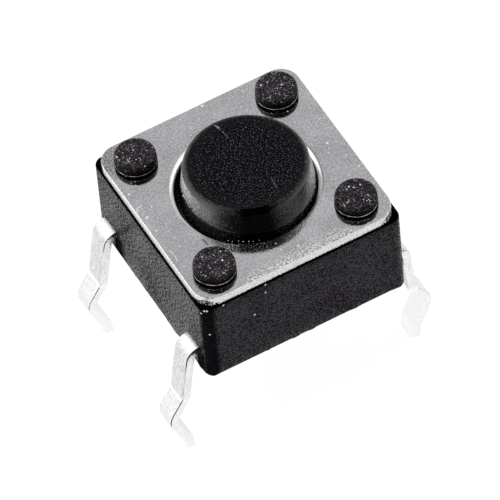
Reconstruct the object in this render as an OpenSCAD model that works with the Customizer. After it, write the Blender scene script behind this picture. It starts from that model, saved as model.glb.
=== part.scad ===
// Tactile push button switch for through-hole mounting, with four snap-in legs.
// Millimetres. Origin at the centre of the flat underside, on the board's surface.
// +Z is up, towards the button. The legs leave the -X and +X faces.

/* [Base housing] */
// Width of the square moulded base, both ways
body_w = 6.0; // [5.8:0.1:7.0]
// Height of the base, from the board to the underside of the cover plate
base_h = 2.8; // [2.6:0.05:3.6]
// Radius of the four upright corners of the base
body_corner_r = 0.28; // [0.1:0.02:0.5]

/* [Cover plate] */
// Thickness of the stamped cover plate
plate_t = 0.30; // [0.2:0.02:0.4]
// Strip of base left showing outside the cover plate, on each side
plate_inset = 0.06; // [0.02:0.01:0.15]
// Corner radius of the cover plate
plate_corner_r = 0.55; // [0.35:0.05:0.8]
// Rolled upper edge of the cover plate and of its holes
plate_roll = 0.06; // [0.03:0.01:0.1]

/* [Staked pegs] */
// Distance between the pegs, both ways
peg_pitch = 4.25; // [4.15:0.05:4.4]
// Diameter of the pegs below their heads
peg_d = 0.84; // [0.7:0.02:0.9]
// Diameter of the staked heads at their rim
head_d = 1.16; // [1.05:0.01:1.3]
// Diameter of the staked heads where they meet the cover plate
head_foot_d = 1.02; // [0.94:0.01:1.04]
// Height of the heads' rim above the cover plate
head_rim_h = 0.09; // [0.04:0.01:0.12]
// Height of the staked heads above the cover plate
head_h = 0.36; // [0.28:0.01:0.45]

/* [Button] */
// Diameter of the button's stem at its flange
button_d = 3.56; // [3.0:0.04:3.6]
// Draft of the stem's side, in degrees
button_draft = 4; // [1:0.5:5]
// How far the button stands above the cover plate
button_rise = 0.90; // [0.6:0.1:6]
// Rounding of the button's upper edge
button_edge_r = 0.13; // [0.06:0.01:0.3]
// Thickness of the flange that keeps the button in
flange_t = 0.5; // [0.3:0.05:0.6]
// How far the flange reaches under the cover plate
flange_lap = 0.31; // [0.2:0.01:0.34]
// Diameter of the nub that presses the dome
nub_d = 1.3; // [0.9:0.1:1.8]
// How far the button moves when it is pressed
travel = 0.25; // [0.15:0.01:0.3]

/* [Contact dome] */
// Outer diameter of the dome
dome_d = 3.7; // [3.4:0.05:3.8]
// Thickness of the dome's spring metal
dome_t = 0.07; // [0.05:0.01:0.1]
// Width of the flat brim round the dome
brim_w = 0.2; // [0.12:0.02:0.3]

/* [Terminals] */
// Distance between the legs of one face
leg_pitch = 4.5; // [4.4:0.05:4.6]
// Width of the terminal strip and of its legs
leg_w = 0.65; // [0.5:0.05:0.7]
// Thickness of the terminal strip
strip_t = 0.24; // [0.18:0.02:0.3]
// Height of the upper face of the strip above the board
strip_top_z = 0.885; // [0.7:0.005:0.95]
// Height of the coined contacts above the strip
contact_h = 0.10; // [0.06:0.01:0.14]
// Diameter of the centre contact
centre_contact_d = 0.84; // [0.5:0.02:1.0]
// Diameter of the four rim contacts
rim_contact_d = 0.40; // [0.3:0.02:0.44]
// Angle of the rim contacts from the X axis
rim_contact_angle = 22; // [16:1:30]

/* [Leg shape] */
// Lean of the straight part of the leg, outwards from upright
leg_lean = 9; // [4:1:12]
// Length of the straight part of the leg
leg_straight = 1.50; // [1.3:0.05:1.8]
// Angle of the kink from upright, outwards
kink_out = 33.5; // [20:0.5:40]
// Straight length of the kink on its way out
kink_out_len = 0.52; // [0.4:0.02:0.7]
// Angle of the kink from upright, on its way back in
kink_back = 26; // [15:1:35]
// Straight length of the kink on its way back in
kink_back_len = 0.67; // [0.45:0.02:0.9]
// Angle of the leg's tip from upright, inwards
tip_angle = 7; // [0:1:12]
// Length of the leg's tip
tip_len = 0.45; // [0.3:0.05:1.2]

/* [Hidden] */

// clearances between pieces
hole_gap = 0.18;     // button in the hole of the cover plate
guide_gap = 0.10;    // flange in the well that guides it
peg_gap = 0.04;      // peg in its hole in the cover plate
dome_gap = 0.10;     // dome in its seat
window_gap = 0.10;   // coined contact in its window in the floor
floor_skin = 0.05;   // moulding over the buried metal
slot_overrun = 0.5;  // tools that cut the base reach this far past it

// heights, from the board up
plate_top_z = base_h + plate_t;
button_top_z = plate_top_z + button_rise;
flange_z = base_h - flange_t;
strip_z = strip_top_z - strip_t;
floor_z = strip_top_z + floor_skin;
contact_z = strip_top_z + contact_h;
dome_top_z = contact_z + travel + dome_t;
seat_wall_h = 0.65;
guide_z = floor_z + seat_wall_h;

// radii and positions
plate_w = body_w - 2 * plate_inset;
hole_r = button_d / 2 + hole_gap;
flange_r = hole_r + flange_lap;
guide_r = flange_r + guide_gap;
seat_r = dome_d / 2 + dome_gap;
nub_edge_r = 0.12;
head_edge_r = 0.10;
head_draft = 5;
rim_r = dome_d / 2 - brim_w / 2;
rim_x = rim_r * cos(rim_contact_angle);
rim_y = rim_r * sin(rim_contact_angle);
arm_margin = 0.05;
arm_w = rim_contact_d + 2 * arm_margin;
arm_end = 0.3;
tongue_w = 0.9;
tongue_end = 0.52;
centre_side = 1;
rim_side = -1;
pin_hole_r = 0.3;
small_pin_hole_r = 0.24;

// radii of the leg's bends, at the middle of the strip
shoulder_r = 0.29;
kink_start_r = 0.25;
kink_top_r = 0.50;
kink_end_r = 0.25;
bend_step = 6;

// facets
$fn = 32;
round_fn = 96;
edge_fn = 32;
dome_steps = 10;

// ---- leg path: points and headings along the middle of the strip ----
// a leg is a list of [straight length, turn in degrees, bend radius]; 0 heads out, 90 heads down
LEG = [
    [0, 90 - leg_lean, shoulder_r],
    [leg_straight, leg_lean - kink_out, kink_start_r],
    [kink_out_len, kink_out + kink_back, kink_top_r],
    [kink_back_len, tip_angle - kink_back, kink_end_r],
    [tip_len, 0, 0]
];

// centre of the bend that starts at p with heading h
function bend_centre(p, h, turn, r) = p - r * sign(turn) * [sin(h), cos(h)];

// points and headings round one bend
function bend_points(p, h, turn, r) =
    let (c = bend_centre(p, h, turn, r), n = ceil(abs(turn) / bend_step))
    [for (i = [1 : n]) let (a = h + turn * i / n) [c + r * sign(turn) * [sin(a), cos(a)], a]];

// end of the straight stretch i that starts at p with heading h
function straight_end(p, h, i) = p + LEG[i][0] * [cos(h), -sin(h)];

// walk the list from stretch i on
function leg_walk(i, p, h) =
    i == len(LEG) ? [] :
    let (
        q = straight_end(p, h, i),
        bend = LEG[i][1] == 0 ? [] : bend_points(q, h, LEG[i][1], LEG[i][2]),
        last = len(bend) == 0 ? [q, h] : bend[len(bend) - 1]
    )
    concat(LEG[i][0] == 0 ? [] : [[q, h]], bend, leg_walk(i + 1, last[0], last[1]));

leg_start = [body_w / 2, strip_top_z - strip_t / 2];
leg_line = concat([[leg_start, 0]], leg_walk(0, leg_start, 0));

// one face of the leg, d to the side of the middle line
function leg_face(d) = [for (s = leg_line) s[0] + d * [sin(s[1]), cos(s[1])]];
function reversed(list) = [for (i = [len(list) - 1 : -1 : 0]) list[i]];
function mirrored(list) = [for (p = list) [-p[0], p[1]]];

// ---- shared shapes ----
module at_corners(pitch) {
    for (sx = [-1, 1], sy = [-1, 1])
        translate([sx * pitch / 2, sy * pitch / 2, 0])
            children();
}

module rounded_square(w, r) {
    square([w - 2 * r, w], center = true);
    square([w, w - 2 * r], center = true);
    for (sx = [-1, 1], sy = [-1, 1])
        translate([sx * (w / 2 - r), sy * (w / 2 - r)])
            circle(r);
}

// half section of a disc of foot radius r and height h that narrows upwards by the draft
// angle and has its upper edge rounded
module disc_section(r, h, edge_r, draft = 0) {
    centre = [r - edge_r / cos(draft) - (h - edge_r) * tan(draft), h - edge_r];
    side_end = centre + edge_r * [cos(draft), sin(draft)];
    intersection() {
        square([r, h]);
        union() {
            polygon([[0, 0], [r, 0], side_end, [centre[0], h], [0, h]]);
            translate(centre)
                circle(edge_r, $fn = edge_fn);
        }
    }
}

// ---- terminals ----
// side profile of a strip with a leg at each end, in X and Z
module strip_profile() {
    outer = leg_face(strip_t / 2);
    inner = leg_face(-strip_t / 2);
    polygon(concat(outer, reversed(inner), mirrored(inner), reversed(mirrored(outer))));
}

module strip_with_legs(side) {
    translate([0, side * leg_pitch / 2, 0])
        rotate([90, 0, 0])
            linear_extrude(leg_w, center = true)
                strip_profile();
}

// straight stretch of a strip, from end to end of the slot that holds it
module strip_bar(side) {
    translate([-body_w / 2 - slot_overrun, side * leg_pitch / 2 - leg_w / 2, strip_z])
        cube([body_w + 2 * slot_overrun, leg_w, strip_t]);
}

// tongue that carries the centre contact
module tongue() {
    translate([-tongue_w / 2, -tongue_end, strip_z])
        cube([tongue_w, tongue_end + leg_pitch / 2, strip_t]);
}

// two arms that carry the rim contacts
module arms() {
    for (sx = [-1, 1])
        translate([sx * rim_x - arm_w / 2, -leg_pitch / 2, strip_z])
            cube([arm_w, leg_pitch / 2 + rim_y + arm_end, strip_t]);
}

module centre_contact(r, h) {
    translate([0, 0, strip_top_z])
        cylinder(r = r, h = h);
}

module rim_contacts(r, h) {
    for (sx = [-1, 1], sy = [-1, 1])
        translate([sx * rim_x, sy * rim_y, strip_top_z])
            cylinder(r = r, h = h);
}

module centre_terminal() {
    color([0.86, 0.86, 0.85]) {
        strip_with_legs(centre_side);
        tongue();
        centre_contact(centre_contact_d / 2, contact_h);
    }
}

module rim_terminal() {
    color([0.86, 0.86, 0.85]) {
        strip_with_legs(rim_side);
        arms();
        rim_contacts(rim_contact_d / 2, contact_h);
    }
}

// ---- base housing ----
// half section of a staked head, undercut below its rim
module head_section() {
    polygon([[0, 0], [head_foot_d / 2, 0], [head_d / 2, head_rim_h], [0, head_rim_h]]);
    translate([0, head_rim_h])
        disc_section(head_d / 2, head_h - head_rim_h, head_edge_r, head_draft);
}

module pegs() {
    at_corners(peg_pitch) {
        translate([0, 0, base_h - plate_t])
            cylinder(d = peg_d, h = 2 * plate_t);
        translate([0, 0, plate_top_z])
            rotate_extrude()
                head_section();
    }
}

module well() {
    translate([0, 0, guide_z])
        cylinder(r = guide_r, h = base_h, $fn = round_fn);
    translate([0, 0, floor_z])
        cylinder(r = seat_r, h = base_h, $fn = round_fn);
}

// round windows in the floor, down to the metal
module contact_windows() {
    centre_contact(centre_contact_d / 2 + window_gap, seat_wall_h);
    rim_contacts(rim_contact_d / 2 + window_gap, floor_skin * 2);
}

// holes left by the pins that hold the metal in the mould
module support_pin_holes() {
    for (side = [centre_side, rim_side])
        translate([0, side * leg_pitch / 2, -slot_overrun])
            cylinder(r = pin_hole_r, h = strip_z + slot_overrun);
    for (sx = [-1, 1])
        translate([sx * rim_x, 0, -slot_overrun])
            cylinder(r = small_pin_hole_r, h = strip_z + slot_overrun);
}

module base_housing() {
    color([0.07, 0.07, 0.08]) {
        difference() {
            linear_extrude(base_h)
                rounded_square(body_w, body_corner_r);
            well();
            contact_windows();
            strip_bar(centre_side);
            strip_bar(rim_side);
            tongue();
            arms();
            support_pin_holes();
        }
        pegs();
    }
}

// ---- cover plate ----
// flat plate with rounded corners and a bevel along its upper edge
module bevelled_plate(w, t, r, bevel) {
    edge = [[0, 0], [w / 2, 0], [w / 2, t - bevel], [w / 2 - bevel, t], [0, t]];
    corner = [[0, 0], [r, 0], [r, t - bevel], [r - bevel, t], [0, t]];
    for (turn = [0, 90])
        rotate([90, 0, turn])
            linear_extrude(w - 2 * r, center = true)
                polygon(concat(edge, reversed(mirrored(edge))));
    at_corners(w - 2 * r)
        rotate_extrude()
            polygon(corner);
}

module rolled_hole(r, fn) {
    translate([0, 0, -plate_t])
        cylinder(r = r, h = 3 * plate_t, $fn = fn);
    translate([0, 0, plate_t - plate_roll])
        cylinder(r1 = r, r2 = r + 2 * plate_roll, h = 2 * plate_roll, $fn = fn);
}

module cover_plate() {
    color([0.72, 0.72, 0.74])
        translate([0, 0, base_h])
            difference() {
                bevelled_plate(plate_w, plate_t, plate_corner_r, plate_roll);
                rolled_hole(hole_r, round_fn);
                at_corners(peg_pitch)
                    translate([0, 0, -plate_t])
                        cylinder(r = peg_d / 2 + peg_gap, h = 3 * plate_t);
            }
}

// ---- button ----
module button() {
    color([0.06, 0.06, 0.07])
        rotate_extrude($fn = round_fn) {
            translate([0, flange_z])
                square([flange_r, flange_t]);
            translate([0, base_h])
                disc_section(button_d / 2, button_top_z - base_h, button_edge_r, button_draft);
            translate([0, flange_z])
                mirror([0, 1])
                    disc_section(nub_d / 2, flange_z - dome_top_z, nub_edge_r);
        }
}

// ---- contact dome ----
// half section: a shallow cap with a flat brim
module contact_dome() {
    cap_r = dome_d / 2 - brim_w;
    sphere_r = (cap_r * cap_r + travel * travel) / (2 * travel);
    cap_angle = asin(cap_r / sphere_r);
    under = [for (i = [0 : dome_steps])
        let (a = cap_angle * i / dome_steps)
        [sphere_r * sin(a), travel - sphere_r * (1 - cos(a))]];
    lower = concat(under, [[dome_d / 2, 0]]);
    upper = [for (p = reversed(lower)) p + [0, dome_t]];
    color([0.80, 0.78, 0.70])
        translate([0, 0, contact_z])
            rotate_extrude($fn = round_fn)
                polygon(concat(lower, upper));
}

base_housing();
cover_plate();
button();
contact_dome();
centre_terminal();
rim_terminal();
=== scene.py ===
import bmesh
import bpy
import math
import numpy as np
from mathutils import Matrix, Vector, noise


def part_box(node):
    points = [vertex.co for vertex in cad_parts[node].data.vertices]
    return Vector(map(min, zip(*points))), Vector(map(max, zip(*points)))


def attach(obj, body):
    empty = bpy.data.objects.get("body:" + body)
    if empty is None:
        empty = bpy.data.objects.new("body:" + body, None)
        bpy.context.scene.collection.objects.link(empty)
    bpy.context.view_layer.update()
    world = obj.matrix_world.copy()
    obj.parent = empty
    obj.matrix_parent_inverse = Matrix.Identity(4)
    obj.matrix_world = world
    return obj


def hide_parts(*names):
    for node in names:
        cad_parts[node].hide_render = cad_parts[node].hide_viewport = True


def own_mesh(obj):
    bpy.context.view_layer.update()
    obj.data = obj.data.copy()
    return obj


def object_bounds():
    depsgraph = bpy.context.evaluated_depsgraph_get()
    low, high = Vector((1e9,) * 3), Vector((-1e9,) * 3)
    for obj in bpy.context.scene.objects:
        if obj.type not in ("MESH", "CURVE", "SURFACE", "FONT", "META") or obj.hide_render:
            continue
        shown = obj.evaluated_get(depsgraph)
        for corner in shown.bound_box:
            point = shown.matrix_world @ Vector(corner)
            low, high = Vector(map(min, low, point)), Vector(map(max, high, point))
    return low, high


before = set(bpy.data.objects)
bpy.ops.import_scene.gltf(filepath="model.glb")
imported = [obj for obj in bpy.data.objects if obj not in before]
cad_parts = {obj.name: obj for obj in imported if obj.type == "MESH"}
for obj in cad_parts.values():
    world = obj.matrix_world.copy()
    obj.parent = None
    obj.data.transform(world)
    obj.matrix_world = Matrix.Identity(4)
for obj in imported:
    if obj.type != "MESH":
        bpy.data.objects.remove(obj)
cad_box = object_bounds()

# ------------------------------
# Terminals: two strips stamped from tin-plated copper alloy, each with a leg
# at both ends.  The base is moulded round them, and the legs are bent down
# over its sides and kinked, so that they snap into the board.
# ------------------------------
mm = 0.001
strip_w = 0.65 * mm
strip_t = 0.24 * mm
strip_edge_r = 0.028 * mm
leg_pitch = 4.5 * mm
far_row, near_row = leg_pitch / 2, -leg_pitch / 2
contact_h = 0.10 * mm
strip_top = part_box("contact_dome")[0].z - contact_h
strip_mid = strip_top - strip_t / 2
face_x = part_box("base_housing")[1].x

# the legs' straight runs and bend radii, in millimetres, and their angles from upright, in degrees
leg_run, kink_out_run, kink_back_run, tip_run = 1.52, 0.54, 0.67, 0.45
fold_r, knee_r, ankle_r = 0.15, 0.50, 0.25
kink_out, kink_back, tip_in = 33.5, 26.0, 7.0
upright_lean, upright_shoulder_r = 9.0, 0.29
pushed_lean, pushed_shoulder_r = 5.0, 0.22

# one contact is coined in the middle on a tongue, and four on two arms, each under the middle of
# the dome's brim, 1.75 mm out and 22 degrees off the X axis
centre_contact_r = 0.42 * mm
rim_contact_r = 0.20 * mm
rim_x, rim_y = 1.6226 * mm, 0.6556 * mm
tongue_w, tongue_end = 0.9 * mm, 0.52 * mm
arm_w, arm_end = 0.5 * mm, 0.3 * mm


def node(tree, kind, inputs=None, **settings):
    """Adds a node and fills its inputs: a socket is linked, anything else is the input's value."""
    made = tree.nodes.new(kind)
    for name, value in settings.items():
        setattr(made, name, value)
    for key, value in (inputs or {}).items():
        if isinstance(value, bpy.types.NodeSocket):
            tree.links.new(value, made.inputs[key])
        else:
            made.inputs[key].default_value = value
    return made


def maths(tree, what, a, b=0.0):
    return node(tree, "ShaderNodeMath", {0: a, 1: b}, operation=what).outputs["Value"]


def times(tree, a, b):
    return maths(tree, "MULTIPLY", a, b)


def plus(tree, a, b):
    return maths(tree, "ADD", a, b)


def minus(tree, a, b):
    return maths(tree, "SUBTRACT", a, b)


def xyz(tree, vector):
    """The three parts of a vector, by the names X, Y and Z."""
    return node(tree, "ShaderNodeSeparateXYZ", {"Vector": vector}).outputs


def vector_maths(tree, what, a, b, result="Vector"):
    return node(tree, "ShaderNodeVectorMath", {0: a, 1: b}, operation=what).outputs[result]


def combined(tree, **parts):
    """A vector made of parts named X, Y and Z."""
    return node(tree, "ShaderNodeCombineXYZ", parts).outputs[0]


def fade(tree, value, full, gone):
    """1 where a value is at or past full, 0 at or past gone, and a slope between."""
    made = node(tree, "ShaderNodeMapRange", {"Value": value, "From Min": gone, "From Max": full})
    return made.outputs["Result"]


def spread(tree, value, low, high):
    """A value between 0 and 1, spread over another range."""
    made = node(tree, "ShaderNodeMapRange", {"Value": value, "To Min": low, "To Max": high})
    return made.outputs["Result"]


def paint(shade):
    """A grey or a red, green and blue as a full colour, and a socket as it is."""
    if isinstance(shade, bpy.types.NodeSocket):
        return shade
    return (*shade, 1) if isinstance(shade, tuple) else (shade, shade, shade, 1)


def ramp(tree, value, stops):
    """Colour ramp from (position, grey or colour) stops."""
    made = node(tree, "ShaderNodeValToRGB", {"Fac": value})
    while len(made.color_ramp.elements) < len(stops):
        made.color_ramp.elements.new(0.5)
    for element, (position, shade) in zip(made.color_ramp.elements, stops):
        element.position = position
        element.color = paint(shade)
    return made.outputs["Color"]


def blend(tree, share, a, b):
    """Colour a turning into colour b."""
    return node(tree, "ShaderNodeMix", {"Factor": share, "A": paint(a), "B": paint(b)},
                data_type="RGBA").outputs["Result"]


def grain(tree, place, scale, detail=3.0, stretch=(1, 1, 1)):
    """Noise of a given fineness per metre, drawn out along an axis whose stretch is below 1."""
    pulled = node(tree, "ShaderNodeMapping", {"Vector": place, "Scale": stretch})
    return node(tree, "ShaderNodeTexNoise",
                {"Vector": pulled.outputs["Vector"], "Scale": scale, "Detail": detail}).outputs["Fac"]


def mark(mesh, name, values):
    """Gives each point of a mesh a value under a name, for its finish to read."""
    kept = mesh.attributes.get(name) or mesh.attributes.new(name, "FLOAT", "POINT")
    kept.data.foreach_set("value", np.asarray(values, dtype=np.float32))


def marked(tree, name):
    """The value that the points of the mesh have under a name."""
    return node(tree, "ShaderNodeAttribute", attribute_name=name).outputs["Fac"]


def points_of(mesh):
    """Places and normals of a mesh's points."""
    return np.array([v.co for v in mesh.vertices]), np.array([v.normal for v in mesh.vertices])


def along(values, scale):
    """Reads values off a scale of {place: share}, straight between its places."""
    return np.interp(values, list(scale), list(scale.values()))


def finish(name, metallic=0.0, specular=0.5, tint=(1.0, 1.0, 1.0)):
    """A new finish: returns it with its tree, its shader and its place on the object."""
    made = bpy.data.materials.new(name)
    made.use_nodes = True
    shader = made.node_tree.nodes["Principled BSDF"]
    shader.inputs["Metallic"].default_value = metallic
    shader.inputs["Specular IOR Level"].default_value = specular
    shader.inputs["Specular Tint"].default_value = paint(tint)
    place = node(made.node_tree, "ShaderNodeTexCoord").outputs["Object"]
    return made, made.node_tree, shader, place


def dress(tree, shader, tone, rough, relief, depth):
    """Fills a finish: its colour, its roughness and its relief, of a depth in metres."""
    tree.links.new(tone, shader.inputs["Base Color"])
    tree.links.new(rough, shader.inputs["Roughness"])
    bump = node(tree, "ShaderNodeBump", {"Height": relief, "Strength": 1.0, "Distance": depth})
    tree.links.new(bump.outputs["Normal"], shader.inputs["Normal"])


def leg_line(lean, shoulder_r):
    """Middle line of a leg, from the base down, as points x, z in metres and 1 on its sharp fold."""
    runs = [(0.0, 90 - lean, shoulder_r), (leg_run, lean - kink_out, fold_r),
            (kink_out_run, kink_out + kink_back, knee_r), (kink_back_run, tip_in - kink_back, ankle_r),
            (tip_run, 0.0, 0.0)]
    x, z, heading, on_fold = face_x / mm, strip_mid / mm, 0.0, 0.0
    line = [(x, z, on_fold)]
    for run, turn, bend_r in runs:
        h = math.radians(heading)
        if turn:
            stops = [0.045, 0.09] + [run * i / 4 for i in (1, 2, 3)] + [run - 0.09, run - 0.04, run]
        else:
            stops = [run * i / 12 for i in range(1, 13)]
        for k, stop in enumerate(stops if run else []):
            line.append((x + stop * math.cos(h), z - stop * math.sin(h), on_fold if k == 0 else 0.0))
        x, z = line[-1][:2]
        on_fold = float(bend_r == fold_r)
        side = math.copysign(1, turn)
        cx, cz = x - bend_r * side * math.sin(h), z - bend_r * side * math.cos(h)
        steps = max(3, round(abs(turn) / 5)) if turn else 0
        for i in range(1, steps + 1):
            a = math.radians(heading + turn * i / steps)
            line.append((cx + bend_r * side * math.sin(a), cz + bend_r * side * math.cos(a), on_fold))
        x, z = line[-1][:2]
        heading += turn
    return [(px * mm, pz * mm, fold) for px, pz, fold in line]


def strip_line(name, row, left_leg, right_leg):
    """Middle line of a strip, tip to tip, as edges, with the share of its width at each point."""
    left = [(-x, z, fold) for x, z, fold in left_leg[::-1]]
    flat = [(face_x * share, strip_mid, 0.0) for share in (-0.5, 0.0, 0.5)]
    whole = left + flat + right_leg
    points = [Vector((x, row, z)) for x, z, _ in whole]
    tip_shape = [(0.0, 0.63), (0.02, 0.83), (0.05, 0.93), (0.09, 0.985), (0.14, 1.0)]
    tips = []
    for end, inner in ((points[0], points[1]), (points[-1], points[-2])):
        tips.append([(end + (inner - end).normalized() * s * mm, share, 0.0) for s, share in tip_shape])
    middle = [(p, 1.0, fold) for p, (_, _, fold) in zip(points, whole)
              if min((p - points[0]).length, (p - points[-1]).length) > 0.16 * mm]
    chain = tips[0] + middle + tips[1][::-1]
    mesh = bpy.data.meshes.new(name)
    mesh.from_pydata([p for p, _, _ in chain], [(i, i + 1) for i in range(len(chain) - 1)], [])
    mark(mesh, "width_share", [share for _, share, _ in chain])
    mark(mesh, "fold_and_tip_highlight", [fold for _, _, fold in chain])
    return mesh


def growing_tree(name, inputs):
    """Geometry tree with a mesh in, a mesh out and named inputs: returns it, its inputs and its output."""
    tree = bpy.data.node_groups.new(name, "GeometryNodeTree")
    tree.interface.new_socket("Geometry", in_out="INPUT", socket_type="NodeSocketGeometry")
    tree.interface.new_socket("Geometry", in_out="OUTPUT", socket_type="NodeSocketGeometry")
    for label, kind in inputs.items():
        tree.interface.new_socket(label, in_out="INPUT", socket_type="NodeSocket" + kind)
    return tree, tree.nodes.new("NodeGroupInput").outputs, tree.nodes.new("NodeGroupOutput").inputs[0]


def step(tree, kind, inputs=None, **settings):
    """One step of a geometry tree: its first output."""
    return node(tree, "GeometryNode" + kind, inputs, **settings).outputs[0]


def close_tree(tree, geometry, material, out):
    """Ends a geometry tree in real, dressed geometry."""
    real = step(tree, "RealizeInstances", {"Geometry": geometry})
    tree.links.new(step(tree, "SetMaterial", {"Geometry": real, "Material": material}), out)


def piece_of(name, mesh):
    """A new object at the origin that holds this mesh."""
    piece = bpy.data.objects.new(name, mesh)
    bpy.context.scene.collection.objects.link(piece)
    return piece


def plain_mesh(piece):
    """Turns a piece with modifiers into the plain mesh they make."""
    seen = piece.evaluated_get(bpy.context.evaluated_depsgraph_get())
    made = bpy.data.meshes.new_from_object(seen)
    piece.modifiers.clear()
    piece.data = made
    return piece


def grown(name, mesh, tree, values):
    """Lets a geometry tree grow a piece from a mesh."""
    piece = piece_of(name, mesh)
    growth = piece.modifiers.new("growth", "NODES")
    growth.node_group = tree
    for item in tree.interface.items_tree:
        if item.in_out == "INPUT" and item.name in values:
            growth[item.identifier] = values[item.name]
    return plain_mesh(piece)


def smooth(piece, degrees):
    """Smooth shading that breaks where faces meet at more than this angle."""
    piece.data.shade_smooth()
    piece.data.set_sharp_from_angle(angle=math.radians(degrees))


def hand_over(piece, body, slot, *nodes):
    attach(piece, body)
    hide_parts(*nodes)


# tin: bright and cloudy, lightly drawn along the strip, and lighter toward the tips; its broad faces are
# painted darker than its edges as shade, painted highlight brightens its folds and inner tips, and painted
# shade, with the dark body's reflection, runs along the edge toward -Y
tin, t, shader, place = finish("matt_tin_plating", metallic=1.0)
bright_tin = (0.98, 0.98, 0.97)
drawn = grain(t, place, 16000, 2.0, (1, 1, 0.10))
fine = grain(t, place, 24000, 2.0)
cloudy = plus(t, times(t, fine, 0.65), times(t, drawn, 0.35))
# the broad faces take the darker tone, which is painted shade
side_tone = ramp(t, cloudy, [(0.36, 0.66), (0.50, 0.87), (0.62, 0.97)])
face_tone = ramp(t, cloudy, [(0.36, 0.46), (0.50, 0.72), (0.62, 0.86)])
tone = blend(t, marked(t, "rolled_face"), side_tone, face_tone)
toward_tip = fade(t, xyz(t, place)["Z"], -3.1 * mm, -0.8 * mm)
tone = blend(t, ramp(t, toward_tip, [(0.0, 0.0), (0.15, 0.38), (1.0, 0.72)]), tone, bright_tin)
# painted highlight on the folds and on the inner faces of the right legs' tips
tone = blend(t, marked(t, "fold_and_tip_highlight"), tone, bright_tin)
# painted shade, with the dark body's reflection, along the strip's edge toward -Y
painted_edge_shade = fade(t, plus(t, marked(t, "edge_shade"), times(t, fine, 0.9)), 1.05, 0.78)
tone = blend(t, painted_edge_shade, tone, 0.02)
relief = plus(t, times(t, drawn, 0.6), times(t, fine, 0.7))
dress(t, shader, tone, spread(t, drawn, 0.30, 0.50), relief, 0.0035 * mm)

# the strip is swept along its line, with rounded tips, and its tongue or arms and its coined
# contacts are joined on
strip_tree, given, out = growing_tree("stamped_strip", {
    "Width": "Float", "Thickness": "Float", "Edge rounding": "Float", "Row": "Float",
    "Contact radius": "Float", "Contact height": "Float", "Contact base": "Float",
    "Contact spread": "Vector", "Tab size": "Vector", "Tab place": "Vector", "Tab step": "Vector"})
t = strip_tree
line = step(t, "MeshToCurve", {"Mesh": given["Geometry"]})
section = step(t, "CurvePrimitiveQuadrilateral", {"Width": given["Width"], "Height": given["Thickness"]})
rounded = step(t, "FilletCurve", {"Curve": section, "Count": 3, "Radius": given["Edge rounding"]},
               mode="POLY")
swept = step(t, "CurveToMesh", {"Curve": line, "Profile Curve": rounded, "Fill Caps": True})
spot = xyz(t, step(t, "InputPosition"))
width_share = step(t, "InputNamedAttribute", {"Name": "width_share"}, data_type="FLOAT")
aside = times(t, minus(t, spot["Y"], given["Row"]), width_share)
narrowed = combined(t, X=spot["X"], Y=plus(t, aside, given["Row"]), Z=spot["Z"])
joined = node(t, "GeometryNodeJoinGeometry")
t.links.new(step(t, "SetPosition", {"Geometry": swept, "Position": narrowed}), joined.inputs[0])
tab = step(t, "MeshCube", {"Size": given["Tab size"]})
for way in ("ADD", "SUBTRACT"):
    at = vector_maths(t, way, given["Tab place"], given["Tab step"])
    t.links.new(step(t, "Transform", {"Geometry": tab, "Translation": at}), joined.inputs[0])
contact_spread = xyz(t, given["Contact spread"])
spots = step(t, "MeshGrid", {
    "Size X": contact_spread["X"], "Size Y": contact_spread["Y"], "Vertices X": 2, "Vertices Y": 2})
apart = step(t, "MergeByDistance", {"Geometry": spots, "Distance": 0.01 * mm})
coin = step(t, "MeshCone", {
    "Vertices": 40, "Side Segments": 3, "Radius Bottom": given["Contact radius"],
    "Radius Top": times(t, given["Contact radius"], 0.86), "Depth": given["Contact height"]})
coins = step(t, "InstanceOnPoints", {"Points": apart, "Instance": coin})
lift = combined(t, Z=given["Contact base"])
t.links.new(step(t, "Transform", {"Geometry": coins, "Translation": lift}), joined.inputs[0])
close_tree(t, joined.outputs[0], tin, out)

upright = leg_line(upright_lean, upright_shoulder_r)
pushed_in = leg_line(pushed_lean, pushed_shoulder_r)
strip_sizes = {"Width": strip_w, "Thickness": strip_t, "Edge rounding": strip_edge_r,
               "Contact height": contact_h, "Contact base": strip_top}
tab_t = strip_t * 0.98
centre_line = strip_line("centre_line", far_row, upright, upright)
centre_strip = grown("centre_terminal_strip", centre_line, strip_tree, {
    **strip_sizes, "Row": far_row, "Contact radius": centre_contact_r,
    "Contact spread": (0.0, 0.0, 0.0), "Tab size": (tongue_w, tongue_end + far_row, tab_t),
    "Tab place": (0.0, (far_row - tongue_end) / 2, strip_mid), "Tab step": (0.0, 0.0, 0.0)})
rim_line = strip_line("rim_line", near_row, upright, pushed_in)
rim_strip = grown("rim_terminal_strip", rim_line, strip_tree, {
    **strip_sizes, "Row": near_row, "Contact radius": rim_contact_r,
    "Contact spread": (2 * rim_x, 2 * rim_y, 0.0),
    "Tab size": (arm_w, rim_y + arm_end - near_row, tab_t),
    "Tab place": (0.0, (rim_y + arm_end + near_row) / 2, strip_mid), "Tab step": (rim_x, 0.0, 0.0)})


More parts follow.
